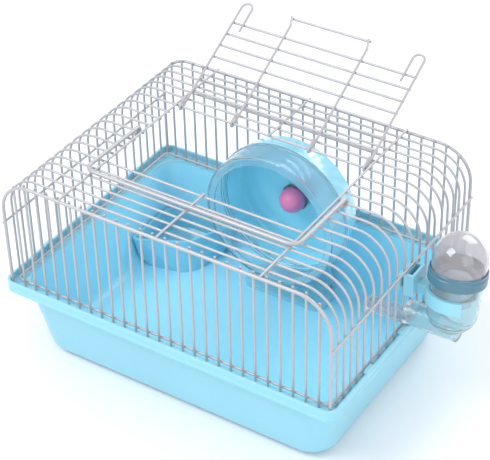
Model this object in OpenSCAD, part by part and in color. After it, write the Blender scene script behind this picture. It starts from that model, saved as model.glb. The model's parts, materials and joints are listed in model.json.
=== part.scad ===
// Small-animal wire cage on a moulded tray, with a running wheel, a corner food
// dish and a clip-on water dispenser. Millimetres, +Z up, +X to the dispenser
// side, -Y to the front. The origin is the middle of the tray's underside.

/* [Tray] */
// Length of the tray over its rim
tray_l = 280; // [260:1:300]
// Depth of the tray over its rim
tray_d = 211; // [195:1:225]
// Height of the tray to the top of its lip
tray_h = 69.4; // [60:0.2:75]
// How far each wall leans in between the rim and the floor
wall_lean = 10; // [6:0.5:12]
// Thickness of the tray's walls and floor
wall_t = 2; // [1.6:0.1:2.6]
// Radius of the upright corners at the rim
rim_r = 8.5; // [7:0.5:9]
// Radius of the upright corners of the tray's walls
wall_r = 20; // [14:1:26]

/* [Wire cage] */
// Length of the cage between its end legs
cage_l = 270; // [250:1:280]
// Depth of the cage between its front and back hoops
cage_d = 200; // [185:1:206]
// Height of the roof wires
roof_z = 157.7; // [145:0.1:170]
// Radius of the rounded top corners
hoop_r = 26; // [18:1:34]
// Radius of an ordinary wire
wire_r = 0.9; // [0.8:0.05:1.1]
// Radius of the wire of the front and back frames
frame_r = 1.25; // [1.1:0.05:1.5]
// Distance between the upright bars of the front and the back
bar_pitch = 10; // [9:0.5:11]

/* [Roof door] */
// Half the length of the roof opening, along the depth of the cage
open_half_d = 44; // [40:0.5:46]
// Half the distance between the two roof rails beside the opening
rail_x = 82; // [76:1:86]
// Angle between the standing-open door and the closed one
door_open = 152; // [100:1:154]

/* [Carry handle] */
// Radius of the handle wire
bail_r = 1.5; // [1.2:0.1:1.7]
// Distance from the handle's pivot to its bar
bail_len = 64; // [62:1:68]

/* [Running wheel] */
// Outer radius of the wheel
wheel_r = 55.5; // [50:0.5:57]
// Height of the wheel's axis
wheel_z = 86.5; // [84:0.5:92]
// Front face of the wheel
wheel_y = 35; // [32:1:38]
// Seat of the joint between the clear front and the blue cup
seam_y = 56; // [52:1:60]
// Back face of the wheel
wheel_back_y = 79; // [76:1:80]

/* [Water dispenser] */
// Radius of the bottle's dome
bottle_r = 20.4; // [18:0.2:21]
// Distance of the bottle's axis from the middle of the cage
feeder_x = 169.5; // [167:0.5:172]
// Place of the bottle's axis along the depth of the cage
feeder_y = 5.5; // [5:0.1:6]
// Lean of the bottle towards the back, about its outlet
feeder_lean = 10; // [0:1:12]

/* [Hidden] */

weld = 0.05;                      // how far two welded wires sink into each other
gap = 0.3;                        // clearance between moving pieces
wire_fn = 24;
round_fn = 96;
wire_white = [0.93, 0.92, 0.95];
tray_blue = [0.56, 0.83, 0.91];
clear_blue = [0.55, 0.82, 0.95, 0.55];
smoke = [0.75, 0.75, 0.78, 0.5];

ledge_z = tray_h - 5.4;           // where the cage stands, inside the lip
lip_t = 2.2;
band_h = 9.5;                     // height of the rim's outer band
floor_z = wall_t;
cage_x = cage_l / 2;
cage_y = cage_d / 2;
foot_z = ledge_z + 0.05;           // lower end of the hoop legs
bar_y = cage_y - frame_r - wire_r + weld;
rail_z = roof_z + 2 * wire_r - weld;
side_gap = open_half_d / 4;
stiff_z = ledge_z + 55;

rod_r = 0.95;                     // wires of the roof door
rod_off = wire_r + rod_r + 0.25;  // distance from the hinge wire to a rod
side_rod_x = 78.5;
mid_rod_x = 33;
cross_s = [for (k = [0:6]) 17.4 + 10.75 * k];
latch_s = 100;

wheel_x = 3;
axle_r = 3;
axle_fit = 0.06;
stand_z = floor_z + 3.6;

dish_leg = 55;                    // length of the dish along each wall
dish_h = 25.5;
dish_t = 1.8;

collar_z = 117;
collar_h = 10;
body_z = 76.5;                    // underside of the cup
body_r = 18.2;
arm_z = 99.5;
neck_r = 12.6;
bottle_h = 32.5;
pipe_z = 79;
pipe_r = 9;
pipe_x = 139.2;
clip_x = cage_x + wire_r + 0.2;
clip_z = 99.5;

// Place of roof hoop k, counted from the opening towards the front or the back
function end_hoop_y(k) = open_half_d + (k > 0 ? 2 : 0) + 9 * k;

// Height of the front and back hoops' wire at x
function hoop_z(x) = let (o = max(0, abs(x) - cage_x + hoop_r))
    roof_z - hoop_r + sqrt(hoop_r * hoop_r - o * o);

// ---- shared shapes ----------------------------------------------------------

module rounded_plate(l, d, r, h) {
    linear_extrude(h) union() {
        square([l - 2 * r, d], center = true);
        square([l, d - 2 * r], center = true);
        for (sx = [-1, 1], sy = [-1, 1])
            translate([sx * (l / 2 - r), sy * (d / 2 - r)]) circle(r, $fn = 48);
    }
}

// A straight wire between two points
module rod(a, b, r) {
    v = b - a;
    translate(a)
        rotate([0, acos(v[2] / norm(v)), atan2(v[1], v[0])])
            cylinder(r = r, h = norm(v), $fn = wire_fn);
}

// A quarter turn of wire in the XZ plane, centred on the origin, from +X to +Z
module corner_turn(bend, r) {
    rotate([90, 0, 0]) rotate_extrude(angle = 90, $fn = round_fn)
        translate([bend, 0]) circle(r, $fn = wire_fn);
}

// Leg and rounded corner of one hoop on the +X side, then the roof wire in to x_end.
// Thicker wire sits lower, so that the tops of all the hoops are level.
module half_hoop(y, r, x_end) {
    z = roof_z + wire_r - r;
    translate([cage_x, y, foot_z]) cylinder(r = r, h = z - hoop_r - foot_z, $fn = wire_fn);
    translate([cage_x - hoop_r, y, z - hoop_r]) corner_turn(hoop_r, r);
    rod([cage_x - hoop_r, y, z], [x_end, y, z], r);
}

module hoop(y, r) {
    half_hoop(y, r, 0);
    mirror([1, 0, 0]) half_hoop(y, r, 0);
}

module upright_bars(y) {
    count = floor((cage_x - 2) / bar_pitch);
    for (k = [-count:count - 1], x = [(k + 0.5) * bar_pitch])
        translate([x, y, foot_z])
            cylinder(r = wire_r, h = hoop_z(x) + frame_r + 0.3 - foot_z, $fn = wire_fn);
}

// ---- tray -------------------------------------------------------------------

// Convex solid of the tub: slices from the rounded bottom edge up to height top.
// inset moves every wall inwards, and low is the height of its lowest slice.
module tub(inset, low, top) {
    edge = 9 - inset / 2;
    flange = 7.5;
    base_l = tray_l - 2 * (flange + wall_lean + inset);
    base_d = tray_d - 2 * (flange + wall_lean + inset);
    hull() {
        for (a = [0, 30, 60, 90]) {
            in = edge * (1 - sin(a)) - wall_lean * edge * (1 - cos(a)) / tray_h;
            translate([0, 0, low + edge * (1 - cos(a))])
                rounded_plate(base_l - 2 * in, base_d - 2 * in, wall_r - inset - in / 2, 0.01);
        }
        translate([0, 0, top - 0.01])
            rounded_plate(base_l + 2 * wall_lean, base_d + 2 * wall_lean, wall_r - inset, 0.01);
    }
}

module tray() {
    color(tray_blue) difference() {
        union() {
            tub(0, 0, ledge_z);
            translate([0, 0, tray_h - band_h]) rounded_plate(tray_l, tray_d, rim_r, band_h);
        }
        tub(wall_t, floor_z, ledge_z + 0.01);
        translate([0, 0, ledge_z])
            rounded_plate(tray_l - 2 * lip_t, tray_d - 2 * lip_t, rim_r - lip_t, band_h);
        // the band is hollow underneath, round the outside of the tub
        translate([0, 0, tray_h - band_h - 1]) difference() {
            rounded_plate(tray_l - 2 * lip_t, tray_d - 2 * lip_t, rim_r - lip_t, band_h - 6.4);
            rounded_plate(tray_l - 15.2, tray_d - 15.2, wall_r, band_h);
        }
    }
}

// ---- food dish --------------------------------------------------------------

// Fan-shaped outline with its rounded corner at the origin, walls t further in
module dish_outline(t, leg) {
    hull() {
        translate([20, -20]) circle(20 - t, $fn = 64);
        translate([leg - 3, -3]) circle(3 - t, $fn = 32);
        translate([3, 3 - leg]) circle(3 - t, $fn = 32);
        translate([0.6 * leg, -0.6 * leg]) circle(8 - t, $fn = 48);
    }
}

// Solid of the dish: it narrows to its floor and widens to its rim
module dish_solid(t) {
    hull() {
        translate([8.5, -8.5, t]) linear_extrude(0.01) dish_outline(t, dish_leg - 11);
        translate([0, 0, 8]) linear_extrude(0.01) dish_outline(t, dish_leg);
        translate([-3, 3, dish_h + t / 20]) linear_extrude(0.01) dish_outline(t, dish_leg + 5);
    }
}

module food_dish() {
    inset = 7.5 + wall_lean + wall_t + 0.8;
    color(clear_blue) translate([inset - tray_l / 2, tray_d / 2 - inset, floor_z + 0.05])
        difference() {
            dish_solid(0);
            dish_solid(dish_t);
        }
}

// ---- running wheel ----------------------------------------------------------

// Puts a turned shape, drawn as [radius, depth], on the wheel's axis
module on_axle() {
    translate([wheel_x, 0, wheel_z]) rotate([-90, 0, 0])
        rotate_extrude($fn = round_fn) children();
}

module wheel_cup() {
    back_r = wheel_r - 3.5;
    color(clear_blue) on_axle() polygon([
        [axle_r + 3.4, wheel_back_y], [back_r - 4, wheel_back_y], [back_r, wheel_back_y - 4],
        [wheel_r + 0.9, seam_y], [wheel_r - 1.2, seam_y], [back_r - 2.2, wheel_back_y - 5],
        [back_r - 5, wheel_back_y - 2], [axle_r + 3.4, wheel_back_y - 2]]);
}

module wheel_front_shell() {
    color(clear_blue) on_axle() polygon([
        [wheel_r - 7, wheel_y], [wheel_r, wheel_y], [wheel_r, seam_y - 2.4],
        [wheel_r + 0.9, seam_y - 2.4], [wheel_r + 0.9, seam_y], [wheel_r - 1.6, seam_y],
        [wheel_r - 1.6, wheel_y + 1.6], [wheel_r - 7, wheel_y + 1.6]]);
}

module wheel_hub() {
    color(tray_blue) on_axle() polygon([
        [axle_r + axle_fit, wheel_back_y - 10], [axle_r + 3.4, wheel_back_y - 10],
        [axle_r + 3.4, wheel_back_y + 2], [axle_r + axle_fit, wheel_back_y + 2]]);
}

module hub_collar() {
    color(smoke) on_axle() polygon([
        [axle_r + 3.4, wheel_back_y - 6], [11.2, wheel_back_y - 6], [9.4, wheel_back_y - 2],
        [axle_r + 3.4, wheel_back_y - 2]]);
}

module hub_cap() {
    middle = wheel_back_y - 10;
    color([0.87, 0.5, 0.67]) on_axle() difference() {
        intersection() {
            translate([0, middle]) circle(10, $fn = round_fn);
            translate([0, middle - 11]) square([11, 15]);
        }
        translate([0, middle]) square([axle_r + 3.4, 5]);
        translate([0, middle - 3.4]) square([4.2, 4]);
    }
}

// Snap cap that keeps the hub on the axle
module axle_retainer() {
    color("gainsboro") translate([wheel_x, wheel_back_y - 12.6, wheel_z]) rotate([-90, 0, 0])
        difference() {
            cylinder(r = 4, h = 2.4, $fn = 48);
            translate([0, 0, 1]) cylinder(r = axle_r - 0.6, h = 3, $fn = 48);
        }
}

module wheel_axle() {
    color("gainsboro") translate([wheel_x, 0, wheel_z]) rotate([-90, 0, 0]) {
        translate([0, 0, wheel_back_y - 10.1]) cylinder(r = axle_r, h = 16.1, $fn = 48);
        translate([0, 0, wheel_back_y - 11.6]) cylinder(r = axle_r - 0.6, h = 2, $fn = 48);
    }
}

// Upright of the stand behind the wheel: a tapered plate with a window and a foot
module wheel_stand() {
    t = 2.8;
    plate_y = wheel_back_y + 2.4;
    color(tray_blue) {
        translate([wheel_x, plate_y + t, 0]) rotate([90, 0, 0]) linear_extrude(t) difference() {
            union() {
                polygon([[-30, stand_z], [30, stand_z], [9, wheel_z], [-9, wheel_z]]);
                translate([0, wheel_z]) circle(9, $fn = 64);
            }
            polygon([[-19, stand_z + 8], [19, stand_z + 8], [6, wheel_z - 16],
                [-6, wheel_z - 16]]);
            translate([0, wheel_z]) circle(axle_r, $fn = 48);
        }
        translate([wheel_x - 28, plate_y - 18, stand_z]) cube([56, 18.5, t]);
    }
}

module wheel_base() {
    color(tray_blue) translate([wheel_x, wheel_back_y - 15, floor_z + 0.05])
        rounded_plate(72, 26, 8, stand_z - floor_z - 0.05);
}

// ---- wire cage --------------------------------------------------------------

module front_frame_hoop() { color(wire_white) hoop(-cage_y, frame_r); }
module back_frame_hoop() { color(wire_white) hoop(cage_y, frame_r); }
module front_bars() { color(wire_white) upright_bars(-bar_y); }
module back_bars() { color(wire_white) upright_bars(bar_y); }

module front_roof_hoops() {
    color(wire_white) for (k = [0:5]) hoop(-end_hoop_y(k), wire_r);
}

module rear_roof_hoops() {
    color(wire_white) for (k = [0:5]) hoop(end_hoop_y(k), wire_r);
}

module right_side_hoops() {
    color(wire_white) for (k = [-3:3]) half_hoop(side_gap * k, wire_r, rail_x - 0.5);
}

module left_side_hoops() { mirror([1, 0, 0]) right_side_hoops(); }

module roof_rails() {
    color(wire_white) for (sx = [-1, 1])
        rod([sx * rail_x, -cage_y - 0.5, rail_z], [sx * rail_x, cage_y + 0.5, rail_z], wire_r);
}

module centre_rails() {
    color(wire_white) for (sy = [-1, 1])
        rod([0, sy * (cage_y + 0.5), rail_z], [0, sy * (open_half_d - 1.4), rail_z], wire_r);
}

module side_stiffeners() {
    x = cage_x + 2 * wire_r - weld;
    color(wire_white) for (sx = [-1, 1])
        rod([sx * x, -cage_y - 0.5, stiff_z], [sx * x, cage_y + 0.5, stiff_z], wire_r);
}

// Closed rectangle of wire welded inside the feet of the hoops and bars
module bottom_wire() {
    x = cage_x - 2 * wire_r + weld;
    y = bar_y - 2 * wire_r + weld;
    r = 4;
    z = foot_z + 3;
    color(wire_white) translate([0, 0, z]) {
        for (s = [-1, 1]) {
            rod([-x + r, s * y, 0], [x - r, s * y, 0], wire_r);
            rod([s * x, -y + r, 0], [s * x, y - r, 0], wire_r);
        }
        for (sx = [0, 1], sy = [0, 1]) mirror([sx, 0, 0]) mirror([0, sy, 0])
            translate([x - r, y - r, 0]) rotate_extrude(angle = 90, $fn = 48)
                translate([r, 0]) circle(wire_r, $fn = wire_fn);
    }
}

// ---- roof door, drawn shut and then swung back about the hinge wire -----------

// Moves a shape drawn in the door's own frame: x along the hinge, y away from the
// hinge towards the free edge, z up off the roof while shut
module door_place() {
    translate([0, open_half_d, roof_z]) rotate([-door_open, 0, 0]) mirror([0, 1, 0]) children();
}

// Rod with a hairpin round the hinge wire
module hinge_rod(x, len) {
    rod([x, 0, rod_off], [x, len, rod_off], rod_r);
    translate([x, 0, 0]) rotate([0, -90, 0]) rotate([0, 0, 180])
        rotate_extrude(angle = 180, $fn = 48) translate([rod_off, 0])
            circle(rod_r, $fn = wire_fn);
    rod([x, 0, -rod_off], [x, 8.5, -rod_off], rod_r);
}

// Side rods: the free end turns back inwards like the crook of a cane
module door_side_rods() {
    crook_r = 4.6;
    crook_s = 95.4;
    color(wire_white) door_place() for (s = [0, 1]) mirror([s, 0, 0]) {
        hinge_rod(side_rod_x, crook_s);
        translate([side_rod_x - crook_r, crook_s, rod_off])
            rotate_extrude(angle = 180, $fn = 48) translate([crook_r, 0])
                circle(rod_r, $fn = wire_fn);
        rod([side_rod_x - 2 * crook_r, crook_s, rod_off],
            [side_rod_x - 2 * crook_r, 75, rod_off], rod_r);
    }
}

// Middle rods: the free end steps sideways and up to the latch
module door_middle_rods() {
    color(wire_white) door_place() for (x = [-mid_rod_x, mid_rod_x]) {
        hinge_rod(x, 93);
        rod([x + 0.1, 91.6, rod_off - 0.1], [x - 3.4, latch_s + 0.8, rod_off + 1.2], rod_r - 0.04);
    }
}

module door_cross_wires() {
    color(wire_white) door_place() for (s = cross_s)
        rod([-side_rod_x - 0.4, s, rod_off + 2 * rod_r - weld],
            [side_rod_x + 0.4, s, rod_off + 2 * rod_r - weld], rod_r);
}

module door_latch_bar() {
    z = rod_off + 1.2 + 2 * rod_r - weld;
    color(wire_white) door_place()
        rod([-mid_rod_x - 4.4, latch_s, z], [mid_rod_x - 1.4, latch_s, z], rod_r);
}

// ---- carry handle -------------------------------------------------------------

module carry_handle() {
    x = rail_x + 5.2;
    bend = 8;
    hook_r = wire_r + bail_r + gap;
    rest_z = 3 * wire_r - weld + bail_r + 0.15;
    color(wire_white) translate([0, 0, roof_z]) rotate([-asin((rest_z - hook_r) / bail_len), 0, 0])
        for (s = [0, 1]) mirror([s, 0, 0]) {
            translate([x, 0, 0]) rotate([0, -90, 0])
                rotate_extrude(angle = 250, $fn = 64) translate([hook_r, 0])
                    circle(bail_r, $fn = wire_fn);
            rod([x, 0, hook_r], [x, bend - bail_len, hook_r], bail_r);
            translate([x - bend, bend - bail_len, hook_r]) rotate([0, 0, -90])
                rotate_extrude(angle = 90, $fn = 64) translate([bend, 0])
                    circle(bail_r, $fn = wire_fn);
            rod([x - bend, -bail_len, hook_r], [0, -bail_len, hook_r], bail_r);
        }
}

// ---- water dispenser ------------------------------------------------------------

// Places a piece drawn upright at height z on the bottle's leaning axis
module at_feeder(z) {
    translate([feeder_x, feeder_y, pipe_z]) rotate([-feeder_lean, 0, 0])
        translate([0, 0, z - pipe_z]) children();
}

// Clip on the outside of the side wires, with a pocket for the arm
module feeder_clip() {
    color(tray_blue) translate([clip_x, 0, 0]) difference() {
        translate([0, feeder_y - 8, clip_z]) cube([7.4, 17, 18]);
        translate([1.9, feeder_y - 6.2, clip_z + 6.6]) cube([3.6, 13.4, 14]);
    }
}

// Plate inside the wires, drawn up against the clip between two of them
module feeder_bar_plate() {
    color(tray_blue) {
        translate([cage_x - wire_r - 2.4, feeder_y - 10.5, clip_z + 5]) cube([2.2, 21, 11]);
        translate([cage_x - wire_r - 0.3, feeder_y - 3.5, clip_z + 7])
            cube([2 * wire_r + 0.45, 7, 6]);
    }
}

// Open ring that the dispenser snaps into
module feeder_arm() {
    inner = body_r + 0.1;
    outer = inner + 2.3;
    reach = feeder_x - clip_x - 7.5;
    color(tray_blue) at_feeder(arm_z) {
        rotate(52) rotate_extrude(angle = 256, $fn = round_fn)
            translate([inner, 0]) square([outer - inner, 9.6]);
        difference() {
            translate([-reach, -7, 1.2]) cube([reach - inner, 9, 7.2]);
            translate([0, 0, -1]) cylinder(r = inner + 0.6, h = 12, $fn = round_fn);
        }
    }
}

// Upright cup with a rounded bottom, t further in than its outside
module cup(t) {
    edge = 17;
    top = t > 0 ? collar_z + 1 : collar_z - 0.1;
    at_feeder(0) rotate_extrude($fn = round_fn) polygon(concat(
        [[0, body_z + t]],
        [for (a = [0:15:90]) [body_r - edge + (edge - t) * sin(a),
            body_z + edge - (edge - t) * cos(a)]],
        [[body_r - t, top], [0, top]]));
}

// Cup that takes the bottle's neck
module feeder_body() {
    color(clear_blue) difference() {
        cup(0);
        cup(1.8);
        at_feeder(body_z - 1) cylinder(r = 3.6, h = 6, $fn = 48);
    }
}

// Level pipe between the cup and the flange
module feeder_pipe() {
    color(clear_blue) difference() {
        translate([pipe_x, feeder_y, pipe_z]) rotate([0, 90, 0]) difference() {
            cylinder(r = pipe_r, h = feeder_x - pipe_x + 7, $fn = 64);
            translate([0, 0, -1])
                cylinder(r = pipe_r - 1.8, h = feeder_x - pipe_x + 6.2, $fn = 64);
        }
        cup(-0.05);
    }
}

// Round flange between the outlet and the side wires
module feeder_outlet() {
    color(smoke) translate([clip_x, feeder_y, pipe_z]) rotate([0, 90, 0]) difference() {
        cylinder(r = pipe_r, h = pipe_x - clip_x - 0.05, $fn = 64);
        translate([0, 0, -1]) cylinder(r = 4.4, h = 9, $fn = 48);
    }
}

// Open drinking trough that reaches in between two side wires
module feeder_trough() {
    reach = 31;
    width = 8.2;
    deep = 8;
    color(smoke) translate([clip_x - 0.05 - reach, feeder_y - width / 2, tray_h + 0.9])
        difference() {
            cube([reach, width, deep]);
            translate([1.3, 1.3, 1.4]) cube([reach, width - 2.6, deep]);
        }
}

module feeder_collar() {
    out = bottle_r + 0.5;
    at_feeder(collar_z) color([0.45, 0.66, 0.78]) rotate_extrude($fn = round_fn)
        polygon([[neck_r + 0.3, 0], [out, 0], [out, collar_h - 1], [out - 0.5, collar_h],
            [bottle_r - 0.6, collar_h], [bottle_r - 0.6, 2.4], [neck_r + 0.3, 2.4]]);
}

// Domed solid with a neck below it, t further in than the bottle's outside
module bottle_solid(t) {
    r = bottle_r - 0.9 - t;
    shoulder = bottle_h - bottle_r + 0.9;
    foot = t > 0 ? -20 : -19;
    rotate_extrude($fn = round_fn) polygon(concat(
        [[0, foot], [neck_r - t, foot], [neck_r - t, t], [r, t]],
        [for (a = [0:7.5:90]) [r * cos(a), shoulder + r * sin(a)]]));
}

// Domed bottle, hollow, with its neck standing down into the cup
module feeder_bottle() {
    at_feeder(collar_z + 2.8) color(smoke) difference() {
        bottle_solid(0);
        bottle_solid(1.5);
    }
}

// Washer between the bottle's shoulder and the collar
module bottle_seal() {
    at_feeder(collar_z + 2.45) color("whitesmoke") rotate_extrude($fn = round_fn)
        translate([neck_r + 0.4, 0]) square([3.2, 0.3]);
}

tray();
food_dish();
wheel_base();
wheel_stand();
wheel_axle();
wheel_cup();
wheel_front_shell();
wheel_hub();
hub_collar();
hub_cap();
axle_retainer();
front_frame_hoop();
back_frame_hoop();
front_bars();
back_bars();
front_roof_hoops();
rear_roof_hoops();
left_side_hoops();
right_side_hoops();
roof_rails();
centre_rails();
side_stiffeners();
bottom_wire();
door_side_rods();
door_middle_rods();
door_cross_wires();
door_latch_bar();
carry_handle();
feeder_clip();
feeder_bar_plate();
feeder_arm();
feeder_body();
feeder_pipe();
feeder_outlet();
feeder_trough();
feeder_collar();
feeder_bottle();
bottle_seal();
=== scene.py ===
"""Looks of the hamster cage: finishes, rounded mouldings, light and camera."""
import json
from math import cos, sin, pi, radians

import bpy
from mathutils import Matrix, Vector


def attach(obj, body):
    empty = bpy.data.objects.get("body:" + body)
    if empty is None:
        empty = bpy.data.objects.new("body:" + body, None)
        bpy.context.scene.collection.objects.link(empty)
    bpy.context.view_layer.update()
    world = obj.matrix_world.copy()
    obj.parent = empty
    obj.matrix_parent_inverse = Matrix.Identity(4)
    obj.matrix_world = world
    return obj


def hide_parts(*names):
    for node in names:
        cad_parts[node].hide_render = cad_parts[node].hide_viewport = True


MM = 0.001
PLASTIC_IOR = 1.49
SHARP = 35                  # degrees: edges sharper than this stay crisp
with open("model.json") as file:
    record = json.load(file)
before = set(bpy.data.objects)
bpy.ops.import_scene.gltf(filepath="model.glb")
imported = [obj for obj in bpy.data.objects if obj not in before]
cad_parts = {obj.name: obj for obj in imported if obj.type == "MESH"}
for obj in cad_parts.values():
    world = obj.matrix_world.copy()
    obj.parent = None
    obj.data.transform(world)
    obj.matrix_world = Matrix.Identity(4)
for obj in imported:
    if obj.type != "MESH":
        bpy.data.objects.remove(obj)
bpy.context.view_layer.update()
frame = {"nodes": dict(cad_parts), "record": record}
nodes = frame["nodes"]


# ---- materials ---------------------------------------------------------------

def material(name, color, rough, clear=0.0, metal=0.0, coat=0.0, vary=0.05, grain=400.0,
             bump=0.02, glow=0.0):
    """Principled finish whose colour and surface are varied by two noises."""
    m = bpy.data.materials.new(name)
    m.use_nodes = True
    nt = m.node_tree
    p = nt.nodes["Principled BSDF"]
    p.inputs["Roughness"].default_value = rough
    p.inputs["Metallic"].default_value = metal
    p.inputs["Transmission Weight"].default_value = clear
    p.inputs["IOR"].default_value = PLASTIC_IOR
    p.inputs["Coat Weight"].default_value = coat
    p.inputs["Subsurface Weight"].default_value = glow
    p.inputs["Subsurface Scale"].default_value = 0.004
    where = nt.nodes.new("ShaderNodeTexCoord")
    big = nt.nodes.new("ShaderNodeTexNoise")
    big.inputs["Scale"].default_value = 14.0
    big.inputs["Detail"].default_value = 4.0
    ramp = nt.nodes.new("ShaderNodeValToRGB")
    ramp.color_ramp.elements[0].color = [c * (1 - vary) for c in color] + [1]
    ramp.color_ramp.elements[1].color = [min(1, c * (1 + vary)) for c in color] + [1]
    small = nt.nodes.new("ShaderNodeTexNoise")
    small.inputs["Scale"].default_value = grain
    lift = nt.nodes.new("ShaderNodeBump")
    lift.inputs["Strength"].default_value = bump
    lift.inputs["Distance"].default_value = 0.0004
    link = nt.links.new
    link(where.outputs["Object"], big.inputs["Vector"])
    link(where.outputs["Object"], small.inputs["Vector"])
    link(big.outputs["Fac"], ramp.inputs["Fac"])
    link(ramp.outputs["Color"], p.inputs["Base Color"])
    link(small.outputs["Fac"], lift.inputs["Height"])
    link(lift.outputs["Normal"], p.inputs["Normal"])
    return m


finish = {
    "tray_plastic": material("tray_plastic", (0.29, 0.63, 0.76), 0.34, coat=0.12, glow=0.12),
    "clear_blue_plastic": material("clear_blue_plastic", (0.74, 0.93, 1.0), 0.09, clear=0.86),
    "dish_plastic": material("dish_plastic", (0.30, 0.76, 0.97), 0.16, clear=0.25, glow=0.15),
    "smoke_plastic": material("smoke_plastic", (0.84, 0.82, 0.85), 0.08, clear=0.82, coat=0.3),
    "band_plastic": material("band_plastic", (0.075, 0.19, 0.26), 0.25, coat=0.3),
    "pink_plastic": material("pink_plastic", (0.83, 0.24, 0.46), 0.40, glow=0.15),
    "white_wire": material("white_wire", (0.45, 0.44, 0.46), 0.30, metal=0.15, coat=0.4,
                           bump=0.05),
    "seal_rubber": material("seal_rubber", (0.7, 0.7, 0.7), 0.7, bump=0.1),
}
# painted light: a lighter copy of the tray finish for the faces inside the tray; the next material
# is the rear wheel cup's own blue
tray_inside_painted_light = material("tray_inside_painted_light", (0.33, 0.76, 0.94), 0.30, coat=0.15, glow=0.15)
wheel_blue = material("wheel_blue", (0.27, 0.76, 0.96), 0.14, clear=0.15, coat=0.3, glow=0.15)


# ---- mesh helpers --------------------------------------------------------------

def piece(name, verts, faces, body, slot, covers=()):
    """Mesh piece in millimetres that rides on a body and may stand for CAD nodes."""
    me = bpy.data.meshes.new(name)
    me.from_pydata([Vector(v) * MM for v in verts], [], faces)
    me.materials.append(finish[slot])
    me.validate()
    me.shade_smooth()
    me.set_sharp_from_angle(angle=radians(SHARP))
    o = bpy.data.objects.new(name, me)
    bpy.context.scene.collection.objects.link(o)
    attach(o, body)
    if covers:
        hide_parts(*covers)
    return o


def soften(points, r, steps=5):
    """Rounds every corner of a closed outline."""
    out = []
    for k, p in enumerate(points):
        p = Vector(p)
        ends = []
        for q in (points[k - 1], points[(k + 1) % len(points)]):
            d = Vector(q) - p
            ends.append(p + d.normalized() * min(r, d.length / 2.05))
        for j in range(steps + 1):
            t = j / steps
            out.append(ends[0] * (1 - t) ** 2 + p * 2 * t * (1 - t) + ends[1] * t * t)
    return out


def turned(outline, place, segments=120):
    """Closed outline of (radius, depth) turned about an axis set by place."""
    verts = [place @ Vector((r * cos(2 * pi * i / segments), r * sin(2 * pi * i / segments), h))
             for i in range(segments) for r, h in outline]
    n = len(outline)
    faces = [(i * n + j, ((i + 1) % segments) * n + j,
              ((i + 1) % segments) * n + (j + 1) % n, i * n + (j + 1) % n)
             for i in range(segments) for j in range(n)]
    return verts, faces


def rounded_ring(half_l, half_d, r, z, per_corner=14):
    ring = []
    for q, (sx, sy) in enumerate([(1, 1), (-1, 1), (-1, -1), (1, -1)]):
        for k in range(per_corner + 1):
            a = pi / 2 * (q + k / per_corner)
            ring.append((sx * (half_l - r) + r * cos(a), sy * (half_d - r) + r * sin(a), z))
    return ring


def lofted(rings):
    """Skin over rings of equal length, closed at both ends."""
    n = len(rings[0])
    verts = [v for ring in rings for v in ring]
    faces = [(k * n + j, k * n + (j + 1) % n, (k + 1) * n + (j + 1) % n, (k + 1) * n + j)
             for k in range(len(rings) - 1) for j in range(n)]
    faces.append(tuple(reversed(range(n))))
    faces.append(tuple((len(rings) - 1) * n + j for j in range(n)))
    return verts, faces


# ---- tray --------------------------------------------------------------------------

# half length, half depth and height of the tray, and how far its walls lean in
TRAY_L, TRAY_D, TRAY_H, LEAN = 140.0, 105.5, 69.4, 10.0


def wall(z, inset):
    """Inset of the sloping wall at height z."""
    return inset + LEAN * (1 - z / 64)


# rows of (inset from the rim, height, corner radius): underside, outer wall, rim, inside
profile = [(30, 0.0, 15)]
for k in range(9):
    a = pi / 2 * k / 8
    profile.append((wall(9 * (1 - cos(a)), 7.5) + 9 * (1 - sin(a)), 9 * (1 - cos(a)),
                    20 - 4.5 * (1 - sin(a))))
profile += [(7.5, 61.4, 20), (3.2, 61.6, 9), (2.5, 61.2, 6.6), (2.2, 60.4, 6.5), (1.6, 59.9, 7),
            (0.6, 59.9, 8), (0, 60.5, 8.5), (0, 62.6, 8.5), (0.35, 63.0, 8.2), (0.35, 66.6, 8.2),
            (0, 67.0, 8.5), (0, 68.6, 8.5), (0.25, 69.2, 8.3), (0.8, 69.4, 7.8),
            (1.6, 69.4, 7), (2.05, 69.1, 6.6), (2.2, 68.4, 6.3), (2.3, 64.7, 6.2),
            (2.8, 64.1, 6), (8.6, 64.0, 18), (9.3, 63.7, 18), (9.7, 62.8, 18)]
for k in range(9):
    a = pi / 2 * (1 - k / 8)
    profile.append((wall(2 + 8 * (1 - cos(a)), 9.5) + 8 * (1 - sin(a)), 2 + 8 * (1 - cos(a)),
                    18 - 4.5 * (1 - sin(a))))
profile.append((34, 2.0, 12))
tray = piece("tray_moulding", *lofted([rounded_ring(TRAY_L - i, TRAY_D - i, r, z)
                                       for i, z, r in profile]), "tray", "tray_plastic", ["tray"])
# painted light: faces inside the tray below the rim, walls and floor, take the lighter copy of the
# tray finish
tray.data.materials.append(tray_inside_painted_light)
for f in tray.data.polygons:
    c = f.center / MM
    if c.z < 63.2 and f.normal.z > -0.2 and c.x * f.normal.x + c.y * f.normal.y <= 0.5 and c.z > 1:
        f.material_index = 1

# rim tabs that the wire cage snaps under
for sx in (-1, 1):
    for k, y in enumerate((-53, -4, 53)):
        outline = soften([(-5.5, 0), (5.5, 0), (4.6, 1.9), (-4.6, 1.9)], 0.7)
        xs = (sx * 136.9, sx * 139.6)
        verts = [(x, y + a, TRAY_H - 0.3 + b) for x in xs for a, b in outline]
        n = len(outline)
        faces = [(j, (j + 1) % n, n + (j + 1) % n, n + j) for j in range(n)]
        faces += [tuple(range(n)), tuple(reversed(range(n, 2 * n)))]
        piece(f"rim_tab_{'lr'[sx > 0]}{k}", verts, faces, "tray", "tray_plastic")


# ---- running wheel -------------------------------------------------------------------

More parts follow.
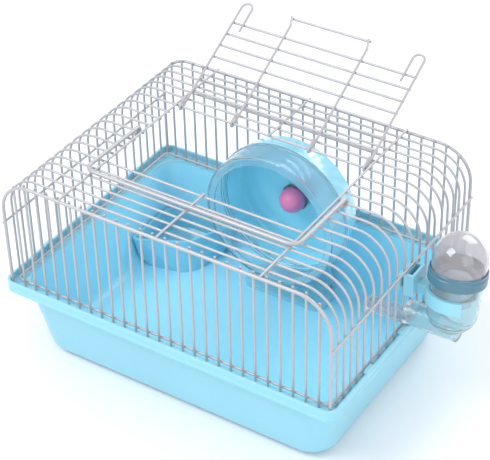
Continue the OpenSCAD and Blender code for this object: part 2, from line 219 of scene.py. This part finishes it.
WHEEL = Matrix.Translation((3, 0, 86.5)) @ Matrix.Rotation(radians(-90), 4, "X")
cup = soften([(6.4, 79), (44, 79), (52, 76.4), (56.2, 56.1), (54.2, 56.1), (50, 75),
              (43.6, 77), (6.4, 77)], 2.2)
piece("wheel_cup_moulding", *turned(cup, WHEEL), "wheel", "clear_blue_plastic",
      ["wheel_cup"]).data.materials[0] = wheel_blue
shell = soften([(48.5, 35), (55.5, 35), (55.5, 53.4), (56.4, 53.8), (56.4, 56), (53.9, 56),
                (53.9, 36.6), (48.5, 36.6)], 0.9)
piece("wheel_front_moulding", *turned(shell, WHEEL), "wheel", "clear_blue_plastic",
      ["wheel_front_shell"])
ring = soften([(52.0, 57.3), (53.6, 57.3), (53.6, 58.4), (52.0, 58.4)], 0.3)
piece("wheel_inner_ring", *turned(ring, WHEEL), "wheel", "clear_blue_plastic")


# ---- water dispenser -------------------------------------------------------------------

PIPE = Vector((169.5, 5.5, 79))     # the bottle leans about this point
FEEDER = (Matrix.Translation(PIPE) @ Matrix.Rotation(radians(-10), 4, "X")
          @ Matrix.Translation((0, 0, -PIPE.z)))
# seat, outer radius and shoulder height of the bottle
BOTTLE_Z, R, SHOULDER = 119.8, 19.5, 13.0


def dome(r, base, steps=22):
    return [(max(0.02, r * cos(pi / 2 * k / steps)), base + r * sin(pi / 2 * k / steps))
            for k in range(steps + 1)]


z0 = BOTTLE_Z
threads = [(12.6 + (2.9 if k % 2 else 1.2), z0 - 4.2 - 1.15 * k) for k in range(9)]
bottle = ([(11.1, z0 - 19)] + [(12.6, z0 - 19), (12.6, z0 - 14.4)] + threads[::-1]
          + [(12.4, z0 - 3.4), (12.4, z0), (R - 1.4, z0), (R - 0.3, z0 + 0.5), (R, z0 + 1.6)]
          + dome(R, z0 + SHOULDER) + dome(R - 1.5, z0 + SHOULDER)[::-1]
          + [(R - 1.5, z0 + 2.6), (R - 2.4, z0 + 1.6), (11.1, z0 + 1.5)])
piece("bottle_moulding", *turned(bottle, FEEDER), "bottle", "smoke_plastic", ["feeder_bottle"])
c0 = 117.0
band = soften([(12.9, c0), (20.4, c0), (20.9, c0 + 0.5), (20.9, c0 + 6.6), (20.3, c0 + 7.2),
               (20.6, c0 + 9.2), (20.1, c0 + 10), (19.8, c0 + 10), (19.8, c0 + 2.4),
               (12.9, c0 + 2.4)], 0.5)
piece("bottle_band", *turned(band, FEEDER), "bottle", "band_plastic", ["feeder_collar"])


# ---- CAD nodes shown as they are ---------------------------------------------------------

slots = {s["node"]: s["material_slot"] for s in frame["record"]["subparts"]}
for name, o in nodes.items():
    o.data.materials.clear()
    o.data.materials.append(finish[slots[name]])
    if not o.data.has_custom_normals:
        o.data.shade_smooth()
        o.data.set_sharp_from_angle(angle=radians(SHARP))


# ---- floor, light and camera ---------------------------------------------------------------

def plain(name, color, rough=0.9):
    m = bpy.data.materials.new(name)
    m.use_nodes = True
    p = m.node_tree.nodes["Principled BSDF"]
    p.inputs["Base Color"].default_value = (*color, 1)
    p.inputs["Roughness"].default_value = rough
    return m


me = bpy.data.meshes.new("floor")
me.from_pydata([(-6, -6, -0.0002), (6, -6, -0.0002), (6, 6, -0.0002), (-6, 6, -0.0002)], [],
               [(0, 1, 2, 3)])
me.materials.append(plain("floor_white", (0.86, 0.86, 0.87)))
floor = bpy.data.objects.new("floor", me)
bpy.context.scene.collection.objects.link(floor)


def area_light(name, at, toward, side, watts, color=(1, 1, 1)):
    data = bpy.data.lights.new(name, "AREA")
    data.size, data.energy, data.color = side, watts, color
    o = bpy.data.objects.new(name, data)
    o.location = at
    o.rotation_euler = (Vector(toward) - Vector(at)).to_track_quat("-Z", "Y").to_euler()
    bpy.context.scene.collection.objects.link(o)
    return o


key = area_light("key", (-0.7, -0.9, 1.5), (0, 0, 0.08), 0.9, 16)
side = area_light("fill", (1.3, -0.7, 0.9), (0, 0, 0.08), 1.2, 7, (0.95, 0.98, 1))
back = area_light("back", (0.2, 1.3, 1.1), (0, 0, 0.08), 1.0, 9)

world = bpy.data.worlds.new("studio")
world.use_nodes = True
world.node_tree.nodes["Background"].inputs["Color"].default_value = (0.95, 0.97, 1, 1)
world.node_tree.nodes["Background"].inputs["Strength"].default_value = 0.9
bpy.context.scene.world = world
bpy.context.scene.view_settings.view_transform = "Standard"

AZ, EL, ROLL = radians(33.43), radians(36.80), radians(1.42)
forward = Vector((-sin(AZ) * cos(EL), cos(AZ) * cos(EL), -sin(EL)))
right0 = Vector((cos(AZ), sin(AZ), 0))
up0 = right0.cross(forward)
right = right0 * cos(ROLL) - up0 * sin(ROLL)
up = up0 * cos(ROLL) + right0 * sin(ROLL)
cam_data = bpy.data.cameras.new("camera")
cam_data.lens, cam_data.sensor_width = 121.23, 36
cam_data.clip_start, cam_data.clip_end = 0.05, 50
cam = bpy.data.objects.new("camera", cam_data)
turn = Matrix((right, up, -forward)).transposed().to_4x4()
cam.matrix_world = Matrix.Translation((0.5338, -0.8013, 0.8211)) @ turn
bpy.context.scene.collection.objects.link(cam)
bpy.context.scene.camera = cam
